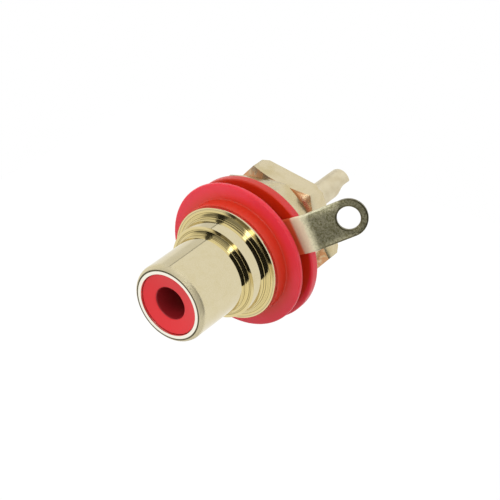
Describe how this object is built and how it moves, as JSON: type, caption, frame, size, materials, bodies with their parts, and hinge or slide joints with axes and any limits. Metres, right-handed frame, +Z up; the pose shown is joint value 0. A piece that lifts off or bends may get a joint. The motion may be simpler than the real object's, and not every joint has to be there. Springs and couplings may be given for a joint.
{
  "type": "rca panel socket",
  "caption": "Round gold panel socket for a phono plug, with red insulating washers, a folded solder tag, hex nuts on a threaded shank and a rear solder cup.",
  "frame": {"origin": "on the socket's axis, in the plane where the front washer's back face meets the panel", "axes": "+Y along the socket's axis, from its mouth to its solder cup; +Z up; +X to the right seen from the front"},
  "size_m": [0.0204, 0.0307, 0.0163],
  "materials": {
    "gold_plate": "bright pale gold plate over turned brass",
    "tag_plate": "satin gold plate over rolled sheet",
    "red_plastic": "smooth moulded red plastic"
  },
  "bodies": {
    "socket_body": {"shell": "gold_plate", "insulator": "red_plastic", "centre_contact": "gold_plate", "rear_bush": "red_plastic", "front_washer": "red_plastic"},
    "clamp_stack": {"rear_washer": "red_plastic"},
    "solder_tag": {"solder_tag": "tag_plate"},
    "nuts": {"clamp_nut": "gold_plate", "lock_nut": "gold_plate"}
  },
  "joints": [
    {"name": "clamp_travel", "type": "slide", "parent": "socket_body", "child": "clamp_stack", "axis": [0, 1, 0], "range_m": [-0.0007, 0.00104]},
    {"name": "tag_swivel", "type": "hinge", "parent": "clamp_stack", "child": "solder_tag", "pos_m": [0, 0.00145, 0], "axis": [0, 1, 0], "continuous": true},
    {"name": "nuts_turn", "type": "hinge", "parent": "clamp_stack", "child": "nuts", "pos_m": [0, 0.00539, 0], "axis": [0, 1, 0], "range_deg": [-345, 505]}
  ],
  "couplings": [
    {"joint": "nuts_turn", "follows": "clamp_travel", "rad_per_m": 8377.6}
  ]
}
